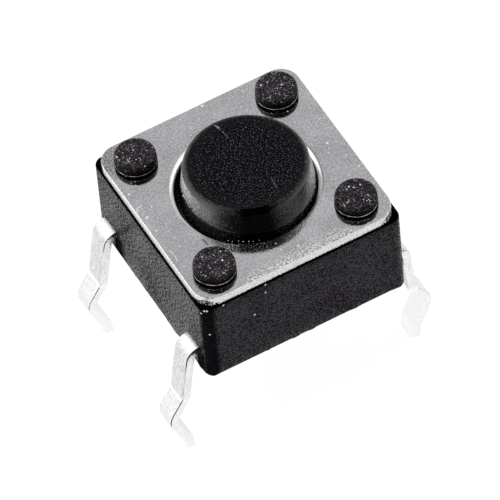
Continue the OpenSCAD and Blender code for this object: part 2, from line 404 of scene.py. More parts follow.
def mark_strip(mesh, row, left_share, right_share):
    """Marks a strip's rolled faces, painted shade and the dark body's reflection along its edge toward -Y,
    and painted highlight on its folds and inner tips.
    """
    at, facing = points_of(mesh)
    out = (np.abs(at[:, 0]) - face_x) / mm
    outward = facing[:, 0] * np.sign(at[:, 0]) + 0.6 * np.maximum(facing[:, 2], 0)
    burr_side = np.abs(at[:, 1] - (row - strip_w / 2)) < 0.6 * strip_edge_r
    on_side = burr_side & (facing[:, 1] <= -0.93)
    on_corner = burr_side & (facing[:, 1] < -0.30) & (facing[:, 1] > -0.93) & (outward > 0.2)
    # the painted shade line is strong round the shoulder and down the kink, and faint between them
    down_leg = along(at[:, 2] / mm, {-2.0: 0.1, -1.7: 0.84, -1.05: 0.88, -0.9: 0.42, 0.2: 0.42, 0.45: 1.0})
    over_shoulder = along(out, {0: 1.0, 0.12: 0.95, 0.34: 0.50, 0.46: 0.0})
    under_shoulder = along(out, {0: 1.0, 0.06: 0.6, 0.16: 0.0})
    edge_shade = on_corner * down_leg + on_side * np.where(outward > 0.01, over_shoulder, under_shoulder)
    edge_shade *= (out > -0.001) & (at[:, 2] > -2.2 * mm)
    mark(mesh, "edge_shade", edge_shade * np.where(at[:, 0] < 0, left_share, right_share))
    # the right legs' inner faces near the tips get painted highlight too
    inner_tip = (at[:, 0] > 0) & (at[:, 2] < -1.0 * mm) & (facing[:, 0] < -0.3)
    folds = np.array([point.value for point in mesh.attributes["fold_and_tip_highlight"].data])
    mark(mesh, "fold_and_tip_highlight", np.maximum(folds, inner_tip))
    mark(mesh, "rolled_face", 1 - np.abs(facing[:, 1]))


for strip, row, left_share, cad in ((centre_strip, far_row, 0.66, "centre_terminal"),
                                    (rim_strip, near_row, 1.0, "rim_terminal")):
    smooth(strip, 38)
    mark_strip(strip.data, row, left_share, 0.45)
    hand_over(strip, "switch_body", "plated_strip", cad)

# ------------------------------
# Base: one black thermoplastic moulding, shot round the two strips.  It has a
# stepped round well, windows down to the contacts, and holes in its underside
# where pins held the strips in the mould.
# ------------------------------
base_half = face_x
plate_low, plate_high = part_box("cover_plate")
dome_low, dome_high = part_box("contact_dome")
button_low, button_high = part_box("button")
body_corner_r = 0.28 * mm
well_z = strip_top + 0.05 * mm
guide_z = well_z + 0.65 * mm
guide_r = button_high.x + 0.10 * mm
seat_r = dome_high.x + 0.10 * mm
window_gap = 0.10 * mm
pin_r, small_pin_r = 0.30 * mm, 0.24 * mm
edge_unevenness = 0.13 * mm
quarters = ((1, 1), (-1, 1), (-1, -1), (1, -1))


def square_loop(half, radius, z, per_corner=10, per_side=1):
    """Points round a square with rounded corners, anticlockwise from above."""
    loop = []
    inner = half - radius
    for turn in range(4):
        quarter = Matrix.Rotation(math.radians(90 * turn), 3, "Z")
        for i in range(per_corner + 1):
            a = math.radians(90 * i / per_corner)
            loop.append(quarter @ Vector((inner + radius * math.cos(a), inner + radius * math.sin(a), z)))
        for i in range(1, per_side):
            loop.append(quarter @ Vector((inner * (1 - 2 * i / per_side), half, z)))
    return loop


def round_loop(radius, z, count):
    """Points round a circle, anticlockwise from above."""
    return [Vector((radius * math.cos(a), radius * math.sin(a), z))
            for a in (2 * math.pi * i / count for i in range(count))]


def skin(name, loops):
    """Skins loops of equal length, from the bottom up for an outside wall, and caps the ends."""
    count = len(loops[0])
    last = (len(loops) - 1) * count
    faces = []
    for low in range(0, last, count):
        for i in range(count):
            j = (i + 1) % count
            faces.append([low + i, low + j, low + count + j, low + count + i])
    faces += [list(range(count))[::-1], list(range(last, last + count))]
    mesh = bpy.data.meshes.new(name)
    mesh.from_pydata([p for loop in loops for p in loop], [], faces)
    return piece_of(name, mesh)


def moved(piece, x, y):
    piece.data.transform(Matrix.Translation((x, y, 0)))
    return piece


def drill(radius, low, high, count=48):
    return skin("drill", [round_loop(radius, low, count), round_loop(radius, high, count)])


def cut_away(piece, tools):
    """Cuts the tools out of a piece and throws them away."""
    for tool in tools:
        cut = piece.modifiers.new("cut", "BOOLEAN")
        cut.operation, cut.solver, cut.object = "DIFFERENCE", "EXACT", tool
    plain_mesh(piece)
    for tool in tools:
        bpy.data.objects.remove(tool)


def even_faces(piece):
    """Shades the large flat faces flat, and leaves the turn to the small ones between them."""
    weigh = piece.modifiers.new("even_faces", "WEIGHTED_NORMAL")
    weigh.keep_sharp = True
    plain_mesh(piece)


foot_edge = [(0.05, 0.0), (0.024, 0.008), (0.008, 0.024), (0.0, 0.05)]
upper_edge = [(0.0, -0.05), (0.006, -0.024), (0.02, -0.008), (0.045, 0.0)]
levels = [(inset, up * mm) for inset, up in foot_edge]
levels += [(0.0, plate_low.z * share) for share in (0.1, 0.3, 0.5, 0.7, 0.9)]
levels += [(inset, plate_low.z + up * mm) for inset, up in upper_edge]
loops = [square_loop(base_half - inset * mm, body_corner_r - inset * mm, z, 10, 72) for inset, z in levels]
# the lower edge is left a little uneven by the mould's parting line
for loop in loops[:len(foot_edge)]:
    for p in loop:
        wave = 0.5 * noise.noise(p * 1900 + Vector((3.1, 7.7, 0))) + 0.5 * noise.noise(p * 4600)
        p.z += edge_unevenness * min(0.0, wave + 0.06)
body = skin("base_moulding", loops)
over = plate_low.z + mm
tools = [drill(guide_r, guide_z, over, 128), drill(seat_r, well_z, over, 128),
         drill(centre_contact_r + window_gap, strip_top, over, 64)]
for sx, sy in quarters:
    window = drill(rim_contact_r + window_gap, strip_top, well_z + 0.1 * mm)
    tools.append(moved(window, sx * rim_x, sy * rim_y))
pin_holes = [(0, far_row, pin_r), (0, near_row, pin_r), (rim_x, 0, small_pin_r), (-rim_x, 0, small_pin_r)]
for x, y, radius in pin_holes:
    tools.append(moved(drill(radius, -mm, strip_top - strip_t), x, y))
cut_away(body, tools)
smooth(body, 35)
even_faces(body)


def largest(tree, *values):
    """The largest of some values of 0 or more."""
    top = 0.0
    for value in values:
        top = maths(tree, "MAXIMUM", value, top)
    return top


def specks(tree, place, scale, size, rare, dimensions="3D"):
    """1 on scattered specks of up to this share of their spacing; the higher rare, the fewer."""
    cell = node(tree, "ShaderNodeTexVoronoi", {"Vector": place, "Scale": scale},
                voronoi_dimensions=dimensions)
    chance = node(tree, "ShaderNodeSeparateColor", {"Color": cell.outputs["Color"]}).outputs
    big = times(tree, plus(tree, chance[1], 0.4), size / 1.4)
    return times(tree, maths(tree, "LESS_THAN", cell.outputs["Distance"], big),
                 maths(tree, "GREATER_THAN", chance[0], rare))


def distance(tree, place, spot):
    return vector_maths(tree, "DISTANCE", place, spot, "Value")


def dot_mask(tree, place, x, y, z, radius):
    """1 in the middle of a small round spot at x, y, z, in millimetres, fading to its rim."""
    return fade(tree, distance(tree, place, (x * mm, y * mm, z * mm)), 0.4 * radius * mm, radius * mm)


def powder(tree, shade):
    """A shader with no gloss at all, for dust, deep shade and bare grain."""
    return node(tree, "ShaderNodeBsdfDiffuse", {"Color": paint(shade)}).outputs[0]


def laid_over(tree, share, under, over):
    """One shader lying over another, on a share of it."""
    return node(tree, "ShaderNodeMixShader", {0: share, 1: under, 2: over}).outputs[0]


def show(tree, shader):
    tree.links.new(shader, tree.nodes["Material Output"].inputs["Surface"])


# black plastic: a fine spark-eroded grain, rougher on the two sides that the legs come out of; the other two
# sides are painted darker, as shade
black, t, shader, place = finish("black_moulding", specular=0.10, tint=(0.93, 0.80, 1.0))
spot = xyz(t, place)
grit = grain(t, place, 20000, 2.0)
drag = grain(t, place, 29000, 1.0, (1, 0.42, 1))
mottle = grain(t, place, 900, 4.0)
plain_side = fade(t, maths(t, "ABSOLUTE", spot["Y"]), base_half - 0.005 * mm, base_half - 0.05 * mm)
tone = ramp(t, mottle, [(0.30, (0.0028, 0.0024, 0.0034)), (0.70, (0.0080, 0.0056, 0.0088))])
# the front and back sides get fewer pale grains, which paints them darker as shade
light_grit = times(t, ramp(t, grit, [(0.50, 0.0), (0.68, 1.0)]), minus(t, 1.0, times(t, plain_side, 0.55)))
tone = blend(t, light_grit, tone, (0.036, 0.032, 0.040))
tone = blend(t, specks(t, place, 5200, 0.10, 0.86), tone, 0.30)
patchy = plus(t, times(t, drag, 0.8), times(t, mottle, 0.2))
rough = ramp(t, patchy, [(0.44, 0.06), (0.50, 0.24), (0.55, 1.0)])
relief = plus(t, times(t, grit, 1.6), times(t, drag, 1.9))
relief = times(t, relief, minus(t, 1.0, times(t, plain_side, 0.40)))
dress(t, shader, tone, rough, relief, 0.0175 * mm)

# the ledge under the cover plate, the wall beside each leg's root and the front corner lie in shade
shades = [fade(t, spot["Z"], plate_low.z - 0.032 * mm, plate_low.z - 0.046 * mm)]
on_face = fade(t, maths(t, "ABSOLUTE", spot["X"]), base_half - 0.01 * mm, base_half - 0.06 * mm)
low_down = fade(t, spot["Z"], 0.72 * mm, 1.02 * mm)
for row in (far_row, near_row):
    beside = minus(t, row, spot["Y"])
    by_root = times(t, fade(t, beside, 0.50 * mm, 0.82 * mm), fade(t, beside, 0.20 * mm, 0.10 * mm))
    shades.append(times(t, times(t, times(t, by_root, on_face), low_down), 0.93))
at_corner = times(t, fade(t, spot["Y"], -2.85 * mm, -2.78 * mm), fade(t, spot["X"], -2.72 * mm, -2.58 * mm))
shades.append(times(t, at_corner, 0.85))
shaded = laid_over(t, largest(t, *shades), shader.outputs[0], powder(t, (0.0016, 0.0013, 0.0018)))
crumb_r = 0.036
crumb_spots = [(-2.38, -3.0, 2.74), (-2.91, -2.925, 2.77), (-2.85, -2.965, 2.77), (-2.97, -2.85, 2.64),
               (-2.84, -2.975, 1.78), (-1.14, -3.0, 2.44), (-1.12, -3.0, 2.75), (-1.51, -3.0, 1.75)]
crumbs = largest(t, *(dot_mask(t, place, *crumb_spot, crumb_r) for crumb_spot in crumb_spots))
show(t, laid_over(t, crumbs, shaded, powder(t, 0.90)))
body.data.materials.append(black)
hand_over(body, "switch_body", "black_moulding", "base_housing")

# ------------------------------
# Contact dome: a shallow cap punched from spring steel, with a flat brim that
# rests on the four rim contacts.  It clicks down onto the centre contact.
# ------------------------------
dome_t = 0.07 * mm
dome_r = dome_high.x
cap_r = dome_r - 0.2 * mm
rise = dome_high.z - dome_low.z - dome_t
sphere_r = (cap_r ** 2 + rise ** 2) / (2 * rise)
crown_steps = 16
under = []
for i in range(crown_steps + 1):
    r = cap_r * (1 - i / crown_steps) + 0.012 * mm * (i / crown_steps)
    under.append((r, dome_low.z + rise - sphere_r + math.sqrt(sphere_r ** 2 - r ** 2)))
section = under[::-1]
section += [(dome_r - 0.01 * mm, dome_low.z), (dome_r, dome_low.z + 0.012 * mm),
            (dome_r, dome_low.z + dome_t - 0.012 * mm), (dome_r - 0.01 * mm, dome_low.z + dome_t)]
section += [(r, z + dome_t) for r, z in under]
dome = skin("contact_dome_disc", [round_loop(r, z, 96) for r, z in section])
smooth(dome, 40)
spring, t, shader, place = finish("spring_steel", metallic=1.0)
rolled = grain(t, place, 5000, 3.0, (0.1, 1, 1))
tone = ramp(t, rolled, [(0.3, (0.60, 0.58, 0.54)), (0.7, (0.74, 0.72, 0.68))])
dress(t, shader, tone, spread(t, rolled, 0.18, 0.34), rolled, 0.002 * mm)
dome.data.materials.append(spring)
hand_over(dome, "switch_body", "dome_spring_metal", "contact_dome")
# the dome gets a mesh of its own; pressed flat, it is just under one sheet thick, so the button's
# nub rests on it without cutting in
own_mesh(dome)

# ------------------------------
# Button: a black moulded plunger.  Its flange stays under the cover plate, a
# nub below presses the dome, and its stem has draft and a rounded top edge.
# It sits a hair off centre, by the play that it has in its guide.
# ------------------------------
flange_r = button_high.x
flange_low = plate_low.z - 0.5 * mm
flange_edge_r = 0.03 * mm
stem_r = 1.83 * mm
draft = math.radians(7.6)
top_edge_r = 0.18 * mm
nub_r = 0.65 * mm
nub_edge_r = 0.12 * mm
button_play = (0.01 * mm, -0.09 * mm)


def arc(cx, cz, radius, start, end, steps):
    """Points of an arc in a half section, from one angle to another, in degrees."""
    angles = (math.radians(start + (end - start) * i / steps) for i in range(steps + 1))
    return [(cx + radius * math.cos(a), cz + radius * math.sin(a)) for a in angles]


top_edge_z = button_high.z - top_edge_r
edge_x = stem_r - top_edge_r / math.cos(draft) - (top_edge_z - plate_low.z) * math.tan(draft)
section = [(0.02 * mm, button_low.z), (nub_r - 0.3 * mm, button_low.z)]
section += arc(nub_r - nub_edge_r, button_low.z + nub_edge_r, nub_edge_r, -90, 0, 6)
section += [(nub_r, flange_low - 0.02 * mm), (nub_r + 0.02 * mm, flange_low),
            (flange_r - 0.04 * mm, flange_low)]
section += arc(flange_r - flange_edge_r, flange_low + flange_edge_r, flange_edge_r, -90, 0, 3)
section += arc(flange_r - flange_edge_r, plate_low.z - 0.04 * mm, flange_edge_r, 0, 90, 3)
section += [(stem_r + 0.04 * mm, plate_low.z - 0.01 * mm), (stem_r + 0.01 * mm, plate_low.z)]
side_low, side_high = stem_r - 0.02 * mm * math.tan(draft), edge_x + top_edge_r * math.cos(draft)
z_low, z_high = plate_low.z + 0.02 * mm, top_edge_z + top_edge_r * math.sin(draft)
section += [(side_low + (side_high - side_low) * f, z_low + (z_high - z_low) * f)
            for f in (0, 0.25, 0.5, 0.75)]
section += arc(edge_x, top_edge_z, top_edge_r, math.degrees(draft), 90, 12)
section += [(edge_x * f, button_high.z) for f in (0.97, 0.8, 0.5, 0.2, 0.02)]
button = moved(skin("push_button_cap", [round_loop(r, z, 160) for r, z in section]), *button_play)
smooth(button, 40)
even_faces(button)


def scratch_mask(tree, place, start, end, half_width):
    """1 on a straight scratch between two points in X and Y, in millimetres, fading to its sides."""
    (ax, ay), (bx, by) = start, end
    length = math.hypot(bx - ax, by - ay)
    ux, uy = (bx - ax) / length, (by - ay) / length
    spot = xyz(tree, place)
    dx, dy = minus(tree, spot["X"], ax * mm), minus(tree, spot["Y"], ay * mm)
    down = plus(tree, times(tree, dx, ux), times(tree, dy, uy))
    across = plus(tree, times(tree, dx, -uy), times(tree, dy, ux))
    off_middle = maths(tree, "ABSOLUTE", minus(tree, down, length * mm / 2))
    inside = fade(tree, off_middle, length * mm * 0.30, length * mm / 2)
    return times(tree, inside, fade(tree, maths(tree, "ABSOLUTE", across), 0.0, half_width * mm))


# the face: spark-eroded, so matt with pale grains, and scratched in two places
matt, t, shader, place = finish("button_spark_textured_face", specular=0.035, tint=(0.88, 0.86, 1.0))
grit = grain(t, place, 26000, 1.5)
coarse = grain(t, place, 8000, 3.0)
tone = ramp(t, grit, [(0.47, (0.0006, 0.0005, 0.0009)), (0.56, (0.0070, 0.0066, 0.0090)),
                      (0.64, (0.050, 0.048, 0.056)), (0.74, (0.220, 0.215, 0.230))])
scratched = largest(t, scratch_mask(t, place, (-0.07, 1.48), (-0.02, 1.26), 0.04),
                    times(t, scratch_mask(t, place, (-0.03, 1.30), (0.05, 0.72), 0.018), 0.45),
                    times(t, scratch_mask(t, place, (0.33, -0.82), (0.28, -1.32), 0.018), 0.45))
scratched = times(t, scratched, ramp(t, grain(t, place, 14000, 2.0), [(0.40, 0.0), (0.56, 1.0)]))
tone = blend(t, times(t, marked(t, "rim_share"), 0.8), tone, (0.0100, 0.0095, 0.0115))
tone = blend(t, scratched, tone, (0.45, 0.45, 0.46))
rough = ramp(t, coarse, [(0.35, 0.20), (0.60, 0.42)])
dress(t, shader, tone, rough, plus(t, grit, times(t, coarse, 0.8)), 0.006 * mm)

# the side: polished at its foot and grainy above a wavering line, made pale on the left and right by painted
# sheen;
# its front, its back and its top edge were never polished, and the front is painted near black as shade
glossy, t, shader, place = finish("button_polished_side", specular=0.80)
shader.inputs["Coat Weight"].default_value = 0.3
shader.inputs["Coat Roughness"].default_value = 0.06
drawn = grain(t, place, 22000, 2.0, (1, 1, 0.5))
blotch = grain(t, place, 5200, 3.0)
wavering = plus(t, marked(t, "above_foot"), times(t, minus(t, drawn, 0.5), 0.30))
grainy = fade(t, wavering, 0.025, 0.0)
plain = ramp(t, drawn, [(0.48, (0.0003, 0.0003, 0.0004)), (0.60, (0.012, 0.011, 0.013)),
                        (0.72, (0.070, 0.068, 0.072))])
pale = ramp(t, drawn, [(0.40, (0.024, 0.022, 0.024)), (0.50, (0.29, 0.28, 0.285)),
                       (0.61, (0.74, 0.72, 0.73))])
tone = blend(t, times(t, grainy, marked(t, "painted_sheen")), plain, pale)
patchy = plus(t, times(t, drawn, 0.6), times(t, blotch, 0.4))
rough = blend(t, grainy, 0.05, ramp(t, patchy, [(0.42, 0.26), (0.54, 0.40), (0.64, 0.60)]))
dress(t, shader, tone, rough, times(t, drawn, plus(t, grainy, 0.15)), 0.013 * mm)
matt_grit = ramp(t, grain(t, place, 23000, 1.5), [
    (0.47, (0.0006, 0.0005, 0.0009)), (0.57, (0.0100, 0.0096, 0.0115)), (0.69, (0.150, 0.146, 0.156))])
# the front of the matt finish is painted near black as shade
grit_with_front_shade = blend(t, fade(t, marked(t, "front_shade"), 1.0, 0.6), matt_grit, (0.0010, 0.0008, 0.0010))
show(t, laid_over(t, marked(t, "unpolished"), shader.outputs[0], powder(t, grit_with_front_shade)))

button.data.materials.append(matt)
button.data.materials.append(glossy)
for face in button.data.polygons:
    face.material_index = 0 if face.normal.z > 0.985 else 1
at, facing = points_of(button.data)
up = facing[:, 2]
from_middle = np.hypot(at[:, 0] - button_play[0], at[:, 1] - button_play[1])
# angles round the button, anticlockwise from +X, in degrees
around = np.degrees(np.arctan2(at[:, 1] - button_play[1], at[:, 0] - button_play[0])) % 360
front = along(around, {0: 0.0, 205: 0.0, 222: 0.70, 238: 1.0, 262: 1.0, 276: 0.55, 290: 0.25,
                       315: 0.0, 360: 0.0})
back = along(around, {0: 0.0, 25: 0.2, 65: 0.8, 110: 0.8, 130: 0.0, 360: 0.0})
over_edge = along(up, {0.15: 0.0, 0.60: 0.05, 0.80: 0.35, 0.95: 0.72, 1.0: 0.9})
unpolished = np.maximum(front * along(up, {0.13: 0.93, 0.25: 1.0}), over_edge)
unpolished = np.maximum(unpolished, back * along(up, {0.3: 0.0, 0.6: 1.0}))
foot_h = along(around, {0: 0.05, 130: 0.20, 150: 0.24, 180: 0.23, 205: 0.21, 225: 0.19, 250: 0.12,
                        290: 0.06, 360: 0.05})
# painted sheen by angle round the button: strongest on the left and right, none at the front
painted_sheen = along(around, {0: 0.60, 18: 0.20, 40: 0.08, 118: 0.08, 138: 0.50, 155: 0.76, 168: 0.76, 182: 0.50,
                        195: 0.24, 212: 0.11, 228: 0.0, 262: 0.0, 285: 0.07, 300: 0.02, 312: 0.26, 326: 0.88,
                        348: 0.96, 360: 0.60})
mark(button.data, "rim_share", ((from_middle / edge_x - 0.93) / 0.06).clip(0, 1))
mark(button.data, "front_shade", front)
mark(button.data, "unpolished", unpolished)
mark(button.data, "above_foot", (at[:, 2] - plate_high.z) / mm - foot_h)
mark(button.data, "painted_sheen", painted_sheen * along(up, {0.13: 1.0, 0.30: 0.6, 0.60: 0.0}))
hand_over(button, "push_button", "button_moulding", "button")

# ------------------------------
# Cover plate: a flat square stamped from steel, with soft edges left by the
# punch, a large hole for the button and four small ones for the pegs.  The
# heads of the pegs hold it down.
# ------------------------------
plate_half = plate_high.x
plate_t = plate_high.z - plate_low.z
plate_corner_r = 0.55 * mm
plate_play = (-0.02 * mm, -0.015 * mm)
outer_roll = 0.02 * mm
hole_r, hole_foot_r = 1.90 * mm, 2.015 * mm
hole_shift, hole_foot_shift = 0.12 * mm, 0.06 * mm
punch_angle = math.radians(-115)
punch_way = Vector((math.cos(punch_angle), math.sin(punch_angle), 0))
peg_at = 2.125 * mm
peg_hole_r = 0.46 * mm
peg_hole_roll = 0.03 * mm


def soft_edge(roll, steps=6):
    """Sideways and downward shares of a rounded edge, from the flat top to the upright side."""
    bend = [(roll * (1 - math.sin(a)), roll * (1 - math.cos(a)))
            for a in (math.radians(90 * i / steps) for i in range(steps + 1))]
    return [(roll + 0.05 * mm, 0.0)] + bend


sheet = bmesh.new()
tops, bottoms = [], []


def add_wall(loops, flip):
    """Adds a wall between loops that run from the top down, and notes its top and bottom edges."""
    rows = [[sheet.verts.new(p) for p in loop] for loop in loops]
    count = len(loops[0])
    for upper, lower in zip(rows, rows[1:]):
        for i in range(count):
            j = (i + 1) % count
            quad = [upper[i], lower[i], lower[j], upper[j]]
            sheet.faces.new(quad[::-1] if flip else quad)
    for row, edges in ((rows[0], tops), (rows[-1], bottoms)):
        edges += [sheet.edges.get((row[i], row[(i + 1) % count])) for i in range(count)]


outer = [square_loop(plate_half - side, plate_corner_r - side, plate_high.z - down, 16)
         for side, down in soft_edge(outer_roll)]
outer += [square_loop(plate_half, plate_corner_r, plate_low.z + 0.02 * mm, 16),
          square_loop(plate_half - 0.01 * mm, plate_corner_r, plate_low.z, 16)]
add_wall(outer, False)
# the punch was a hair off the die, so the drawn-in edge is wider on one side; below, where the
# steel broke away, the hole widens again
hole_edge = [(-0.5, 0.0), (-0.3, 0.0), (-0.15, 0.0), (0.0, 0.0), (0.1, 0.001), (0.3, 0.006),
             (0.5, 0.012), (0.7, 0.019), (0.85, 0.026), (0.95, 0.036), (1.0, 0.052), (1.0, 0.12),
             (0.70, 0.27), (0.60, 0.30)]
hole = []
for share, down in hole_edge:
    radius = hole_foot_r + (hole_r - hole_foot_r) * share
    aside = hole_foot_shift + (hole_shift - hole_foot_shift) * share
    hole.append([p + aside * punch_way for p in round_loop(radius, plate_high.z - down * mm, 160)])
add_wall(hole, True)
for sx, sy in quarters:
    shift = Vector((sx * peg_at, sy * peg_at, 0))
    peg_hole = [round_loop(peg_hole_r + side, plate_high.z - down, 48)
                for side, down in soft_edge(peg_hole_roll, 3)]
    peg_hole += [round_loop(peg_hole_r, plate_low.z, 48)]
    add_wall([[p + shift for p in loop] for loop in peg_hole], True)
bmesh.ops.triangle_fill(sheet, edges=tops, use_beauty=True, normal=(0, 0, 1))
bmesh.ops.triangle_fill(sheet, edges=bottoms, use_beauty=True, normal=(0, 0, -1))
mesh = bpy.data.meshes.new("cover_plate_sheet")
sheet.to_mesh(mesh)
sheet.free()
plate = moved(piece_of("cover_plate_sheet", mesh), *plate_play)
smooth(plate, 40)
even_faces(plate)

at = points_of(plate.data)[0][:, :2] - plate_play
around = np.degrees(np.arctan2(at[:, 1], at[:, 0])) % 360
from_punch = np.hypot(*(at - hole_foot_shift * np.array(punch_way[:2])).T)
at_side = (1 - (plate_half - np.abs(at).max(axis=1)) / outer_roll).clip(0, 1)
at_hole = ((hole_foot_r - from_punch) / (0.02 * mm)).clip(0, 1)
past_foot = (from_punch - hole_foot_r) / mm
# painted shade in a crease just outside the hole's edge, on its right
crease_shade = (1 - np.abs(past_foot - 0.017) / 0.016).clip(0, 1)
crease_shade *= along(around, {0: 1.0, 8: 0.8, 14: 0.0, 314: 0.0, 322: 1.0, 360: 1.0})
# painted highlight on the hole's edge, strongest on its left and right
hole_edge_highlight = at_hole * along(around, {0: 0.2, 110: 0.2, 148: 0.30, 160: 0.7, 172: 0.95, 188: 0.9, 203: 0.7,
                                     214: 0.35, 226: 0, 312: 0, 321: 0.9, 331: 0.85, 342: 0.4, 360: 0.2})
mark(plate.data, "worked", np.maximum(0.5 * at_side, at_hole))
mark(plate.data, "crease_shade", crease_shade)
mark(plate.data, "hole_edge_highlight", hole_edge_highlight)

# steel: satin and finely grained, darker toward the corner at -X and +Y, with painted shade in a crease just
# outside part of the hole's edge, which painted highlight makes bright
top_z = plate_high.z / mm
steel, t, shader, place = finish("satin_steel", metallic=1.0)
fine = grain(t, place, 19000, 1.0)
cloud = grain(t, place, 1500, 5.0)
pits = grain(t, place, 11000, 3.0)
salt = ramp(t, grain(t, place, 20000, 1.0), [(0.50, 0.0), (0.58, 1.0)])
pepper = ramp(t, grain(t, place, 21000, 1.0), [(0.38, 1.0), (0.45, 0.0)])
edge = marked(t, "worked")
tint = ramp(t, grain(t, place, 6500, 2.0), [(0.35, (0.960, 0.950, 1.0)), (0.65, (0.985, 0.970, 0.995))])
clouded = plus(t, times(t, fine, 0.7), times(t, cloud, 0.3))
tone = ramp(t, clouded, [(0.30, 0.46), (0.50, 0.70), (0.70, 0.94)])
tone = node(t, "ShaderNodeMix", {"Factor": 1.0, "A": tone, "B": tint},
            data_type="RGBA", blend_type="MULTIPLY").outputs["Result"]
darker_corner_tone = ramp(t, fine, [(0.34, (0.16, 0.165, 0.155)), (0.50, (0.38, 0.39, 0.37)),
                       (0.66, (0.66, 0.67, 0.65))])
# darker toward the corner at -X and +Y
tone = blend(t, times(t, dot_mask(t, place, -2.72, 2.55, top_z, 0.80), 0.8), tone, darker_corner_tone)
# the crease's painted shade
tone = blend(t, times(t, marked(t, "crease_shade"), plus(t, fine, 0.3)), tone, 0.06)
tone = blend(t, fade(t, edge, 0.4, 0.0), tone, ramp(t, fine, [(0.32, 0.48), (0.60, 0.78)]))
tone = blend(t, fade(t, edge, 0.9, 0.55), tone, (0.95, 0.95, 0.96))

# along the front edge, clear of the two front heads, the steel is scoured to light and dark grains
scoured = fade(t, xyz(t, place)["Y"], -2.92 * mm, -2.50 * mm)
for side in (-1, 1):
    to_head = distance(t, place, (side * peg_at, -peg_at, plate_high.z))
    scoured = times(t, scoured, fade(t, to_head, 0.94 * mm, 0.84 * mm))
tone = blend(t, times(t, scoured, times(t, pepper, fade(t, edge, 0.0, 0.3))), tone, 0.22)
scuff = largest(t, scratch_mask(t, place, (-1.89, -1.02), (-1.86, -1.36), 0.05),
                scratch_mask(t, place, (-2.80, -2.78), (-2.70, -2.85), 0.06))
tone = blend(t, times(t, scuff, plus(t, pits, 0.3)), tone, 0.04)
rough = ramp(t, edge, [(0.0, 0.09), (0.4, 0.24), (0.6, 0.24), (1.0, 0.14)])
dress(t, shader, tone, rough, plus(t, fine, times(t, pits, 0.8)), 0.0011 * mm)

# white over the steel: dust, specks, rub marks, scoured and frosted grains, and painted highlight on the
# hole's edge
dust_spots = [(-2.78, 0.34, 0.05), (-2.80, 1.27, 0.04), (0.27, 2.84, 0.05), (-2.78, -0.17, 0.035),
              (2.45, 0.0, 0.05), (2.78, -1.11, 0.035), (0.12, -2.57, 0.04)]
rub_marks = [((-2.81, -0.92), (-2.76, -1.15), 0.022), ((-2.76, -1.13), (-2.81, -1.40), 0.022),
             ((-2.68, 0.76), (-2.86, 0.74), 0.03), ((-2.84, 0.76), (-2.92, 0.60), 0.03)]
frost_spots = [(-1.38, -1.64, 0.34, 0.34), (-0.80, -2.10, 0.60, 0.07), (0.62, -2.12, 0.40, 0.42),
               (1.00, -1.86, 0.42, 0.42)]
whites = [specks(t, place, 3300, 0.07, 0.62, "2D"),
          times(t, specks(t, place, 7000, 0.13, 0.74, "2D"), 0.5),
          times(t, scoured, salt), marked(t, "hole_edge_highlight")]
whites += [dot_mask(t, place, x, y, top_z, radius) for x, y, radius in dust_spots]
whites += [times(t, scratch_mask(t, place, *rub), plus(t, pits, 0.25)) for rub in rub_marks]
whites += [times(t, dot_mask(t, place, x, y, top_z, radius), times(t, salt, share))
           for x, y, radius, share in frost_spots]
show(t, laid_over(t, largest(t, *whites), shader.outputs[0], powder(t, 0.98)))
plate.data.materials.append(steel)
hand_over(plate, "switch_body", "cover_steel", "cover_plate")

# ------------------------------
# Punch burrs: a row of tiny nibs of bare steel, left by the punch on the
# front edge of the plate's hole.
# ------------------------------
burr_count, burr_r, burr_seed = 7, 0.014 * mm, 3
burr_row_r = hole_r - 0.08 * mm
burr_row_start, burr_row_sweep = math.radians(225), math.radians(26)
burr_z = plate_high.z - 0.03 * mm
burr_metal, t, shader, place = finish("bare_burrs", metallic=0.6)
shader.inputs["Roughness"].default_value = 0.5
t.links.new(ramp(t, grain(t, place, 30000, 1.0), [(0.4, 0.90), (0.6, 0.98)]), shader.inputs["Base Color"])
t, given, out = growing_tree("burr_row", {
    "Burrs": "Int", "Row radius": "Float", "Row start": "Float", "Row sweep": "Float", "Centre": "Vector",
    "Burr radius": "Float", "Seed": "Int"})
row = step(t, "CurveArc", {
    "Resolution": given["Burrs"], "Radius": given["Row radius"], "Start Angle": given["Row start"],
    "Sweep Angle": given["Row sweep"]})
nib = step(t, "MeshIcoSphere", {"Radius": given["Burr radius"], "Subdivisions": 2})
size = node(t, "FunctionNodeRandomValue", {2: 0.3, 3: 1.25, "Seed": given["Seed"]}, data_type="FLOAT")
jostle = node(t, "FunctionNodeRandomValue", {
    0: (-0.03 * mm,) * 3, 1: (0.03 * mm, 0.0, 0.0), "Seed": given["Seed"]}, data_type="FLOAT_VECTOR")
jostled = step(t, "SetPosition", {"Geometry": row, "Offset": jostle.outputs[0]})
nibs = step(t, "InstanceOnPoints", {"Points": jostled, "Instance": nib, "Scale": size.outputs[1]})
placed = step(t, "Transform", {"Geometry": nibs, "Translation": given["Centre"]})
close_tree(t, placed, burr_metal, out)
burrs = grown("hole_edge_burrs", bpy.data.meshes.new("burr_row_seed"), t, {
    "Burrs": burr_count, "Row radius": burr_row_r, "Row start": burr_row_start, "Row sweep": burr_row_sweep,
    "Centre": (*(hole_shift * punch_way)[:2], burr_z), "Burr radius": burr_r, "Seed": burr_seed})
smooth(burrs, 60)
hand_over(burrs, "switch_body", "cover_steel", "cover_plate")

# ------------------------------
# Staked heads: the ends of the base's four pegs, softened by heat and pressed
# flat over the cover plate.  Each is a little uneven, with painted highlight round its rim.
# ------------------------------
head_r = 0.58 * mm
head_foot_r = 0.51 * mm
head_rim = 0.09 * mm
head_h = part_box("base_housing")[1].z - plate_high.z
head_edge = 0.10 * mm
head_lean = math.radians(5)
peg_r = 0.42 * mm
peg_depth = plate_t + 0.1 * mm
head_unevenness, head_seed = 0.03 * mm, 4
# the black painted on the heads' sides as shade, and the grey of the highlight painted on their rims
painted_shade_black, rim_highlight_grey = (0.0016, 0.0013, 0.0016), (0.75, 0.75, 0.74)

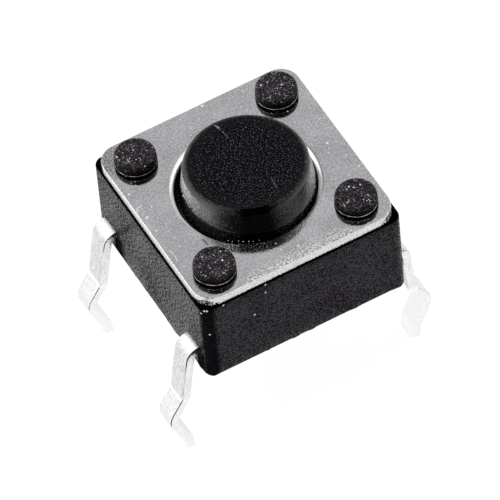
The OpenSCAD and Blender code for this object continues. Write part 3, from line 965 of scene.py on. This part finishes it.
dull, t, shader, place = finish("pressed_peg_heads", specular=0.13, tint=(1.0, 0.86, 1.0))
grit = grain(t, place, 24000, 1.0)
coarse = grain(t, place, 6000, 3.0)
speckle = plus(t, grit, times(t, minus(t, coarse, 0.5), 0.55))
top_tone = ramp(t, speckle, [(0.40, (0.002, 0.0014, 0.002)), (0.52, (0.016, 0.012, 0.016)),
                             (0.62, (0.055, 0.048, 0.056)), (0.74, (0.26, 0.24, 0.25))])
flecks = largest(t, specks(t, place, 10500, 0.33, 0.80), specks(t, place, 15500, 0.30, 0.84))
top_tone = blend(t, times(t, flecks, plus(t, grit, 0.35)), top_tone, (0.85, 0.84, 0.84))
on_top = marked(t, "pressed")
# the pale ring at the rim is painted highlight
rim_highlight = times(t, marked(t, "rim_highlight"), ramp(t, coarse, [(0.38, 0.25), (0.60, 1.0)]))
# below the top, the colour is painted near black as shade
tone = blend(t, rim_highlight, blend(t, on_top, (0.003, 0.0025, 0.003), top_tone), rim_highlight_grey)
dress(t, shader, tone, spread(t, coarse, 0.16, 0.42), plus(t, grit, coarse), 0.017 * mm)
# the sides are painted near black as shade
side_shade = powder(t, blend(t, rim_highlight, painted_shade_black, rim_highlight_grey))
on_side = minus(t, 0.9, times(t, on_top, 0.9))
show(t, laid_over(t, on_side, shader.outputs[0], side_shade))

# half section of a peg and its head, from the cover plate's top
head_edge_x = head_r - head_edge - (head_h - head_rim - head_edge) * math.tan(head_lean)
section = [(peg_r * 0.05, -peg_depth), (peg_r, -peg_depth), (peg_r, -0.02 * mm),
           (head_foot_r - 0.02 * mm, 0.0), (head_foot_r, 0.005 * mm)]
section += [(head_r - side * mm, head_rim + up * mm) for side, up in (
    (0.012, -0.014), (0.0, -0.003), (0.0, 0.0), (0.004, 0.010), (0.008, 0.014))]
section += arc(head_edge_x, head_h - head_edge, head_edge, 5, 82, 6)
section += [(head_edge_x * f, head_h - 0.006 * mm * f * f) for f in (0.9, 0.75, 0.6, 0.45, 0.3, 0.15, 0.03)]
head = skin("peg_head", [round_loop(r, z, 72) for r, z in section])
heights = points_of(head.data)[0][:, 2]
above_rim = heights - head_rim + 0.001 * mm
# where the rim's painted highlight goes
mark(head.data, "rim_highlight", (above_rim >= 0) & (above_rim < 0.012 * mm))
mark(head.data, "pressed", (1 - (head_h - heights) / (0.15 * mm)).clip(0, 1))

t, given, out = growing_tree("staked_heads", {
    "Peg pitch": "Float", "Height": "Float", "Unevenness": "Float", "Head": "Object", "Seed": "Int"})
corners = step(t, "MeshGrid", {
    "Size X": given["Peg pitch"], "Size Y": given["Peg pitch"], "Vertices X": 2, "Vertices Y": 2})
one = node(t, "GeometryNodeObjectInfo", {"Object": given["Head"]})
turn = node(t, "FunctionNodeRandomValue", {"Seed": given["Seed"]}, data_type="FLOAT")
four = step(t, "InstanceOnPoints", {
    "Points": corners, "Instance": one.outputs["Geometry"],
    "Rotation": combined(t, Z=times(t, turn.outputs[1], 2 * math.pi))})
raised = step(t, "Transform", {"Geometry": four, "Translation": combined(t, Z=given["Height"])})
solid = step(t, "RealizeInstances", {"Geometry": raised})
wobble = node(t, "ShaderNodeTexNoise", {"Vector": step(t, "InputPosition"), "Scale": 2200.0, "Detail": 3.0})
centred = vector_maths(t, "SUBTRACT", wobble.outputs["Color"], (0.5, 0.5, 0.5))
push = vector_maths(t, "MULTIPLY", centred, given["Unevenness"])
close_tree(t, step(t, "SetPosition", {"Geometry": solid, "Offset": push}), dull, out)
heads = grown("staked_peg_heads", bpy.data.meshes.new("peg_points"), t, {
    "Peg pitch": 2 * peg_at, "Height": plate_high.z, "Unevenness": head_unevenness, "Head": head,
    "Seed": head_seed})
bpy.data.objects.remove(head)
smooth(heads, 50)
hand_over(heads, "switch_body", "black_moulding", "base_housing")

# ------------------------------
# Studio: a pale floor under the legs, an even sky that is white at the horizon
# and greyer higher up, and one large soft lamp above the left side.
# ------------------------------
view_azimuth, view_elevation = -24.855, 51.849
view_roll = math.radians(-5.651)
view_far = 0.250
view_lens, view_sensor = 685.4544, 36.0
view_right, view_down = 0.03991 * mm, 1.10659 * mm
lamp_azimuth, lamp_elevation = -120, 46
lamp_far, lamp_width, lamp_power = 0.40, 0.50, 0.80
floor_z, floor_reach = cad_box[0][2], 2.0


def outward(azimuth, elevation):
    """The way from the object toward an azimuth and elevation in degrees."""
    a, e = math.radians(azimuth), math.radians(elevation)
    return Vector((math.sin(a) * math.cos(e), -math.cos(a) * math.cos(e), math.sin(e)))


floor_mesh = bpy.data.meshes.new("studio_floor")
floor_corners = [(sx * floor_reach, sy * floor_reach, floor_z) for sx, sy in quarters]
floor_mesh.from_pydata(floor_corners, [], [(0, 1, 2, 3)])
floor = piece_of("studio_floor", floor_mesh)
paper = bpy.data.materials.new("white_paper")
paper.use_nodes = True
t = paper.node_tree
rays = node(t, "ShaderNodeLightPath").outputs
seen = largest(t, rays["Is Camera Ray"], rays["Is Glossy Ray"], rays["Is Transmission Ray"])
glow = node(t, "ShaderNodeEmission", {"Color": (1, 1, 1, 1), "Strength": 0.93})
white_floor = node(t, "ShaderNodeAddShader", {0: powder(t, 0.16), 1: glow.outputs[0]})
show(t, laid_over(t, seen, powder(t, 0.85), white_floor.outputs[0]))
floor_mesh.materials.append(paper)

sky = bpy.data.worlds.new("studio_sky")
bpy.context.scene.world = sky
sky.use_nodes = True
t = sky.node_tree
aim = node(t, "ShaderNodeTexCoord").outputs["Generated"]
level_aim = vector_maths(t, "MULTIPLY", aim, (1, 1, 0))
level_aim = vector_maths(t, "NORMALIZE", level_aim, (0, 0, 0))
to_view = vector_maths(t, "DOT_PRODUCT", level_aim, outward(view_azimuth, 0), "Value")
high_sky = ramp(t, plus(t, times(t, to_view, 0.5), 0.5), [
    (0.0, 0.56), (0.012, 0.58), (0.06, 1.25), (0.18, 1.15), (0.33, 0.80), (0.52, 0.62), (0.66, 0.42),
    (0.85, 0.04), (1.0, 0.01)])
height = ramp(t, xyz(t, aim)["Z"], [(0.0, 0.0), (0.34, 0.0), (0.62, 1.0), (1.0, 1.0)])
t.links.new(blend(t, height, 1, high_sky), t.nodes["Background"].inputs["Color"])

softbox = bpy.data.lights.new("left_softbox", "AREA")
softbox.shape, softbox.size, softbox.energy = "SQUARE", lamp_width, lamp_power
lamp = piece_of("left_softbox", softbox)
way = outward(lamp_azimuth, lamp_elevation)
lamp.matrix_world = Matrix.Translation(way * lamp_far) @ way.to_track_quat("Z", "Y").to_matrix().to_4x4()

# the camera looks down on the front corner through a long lens, a little tilted and slid aside
away = outward(view_azimuth, view_elevation)
level = Vector((-away.y, away.x, 0)).normalized()
above = level.cross(-away)
right = math.cos(view_roll) * level + math.sin(view_roll) * above
upward = math.cos(view_roll) * above - math.sin(view_roll) * level
eye = Vector((0, 0, 2.0 * mm)) + away * view_far + right * view_right - upward * view_down
camera = bpy.data.cameras.new("studio_camera")
camera.sensor_width = view_sensor
camera.lens = view_lens
camera.clip_start = 0.01
view = piece_of("studio_camera", camera)
view.matrix_world = Matrix.Translation(eye) @ Matrix((right, upward, away)).transposed().to_4x4()
bpy.context.scene.camera = view
bpy.context.scene.view_settings.view_transform = "Standard"
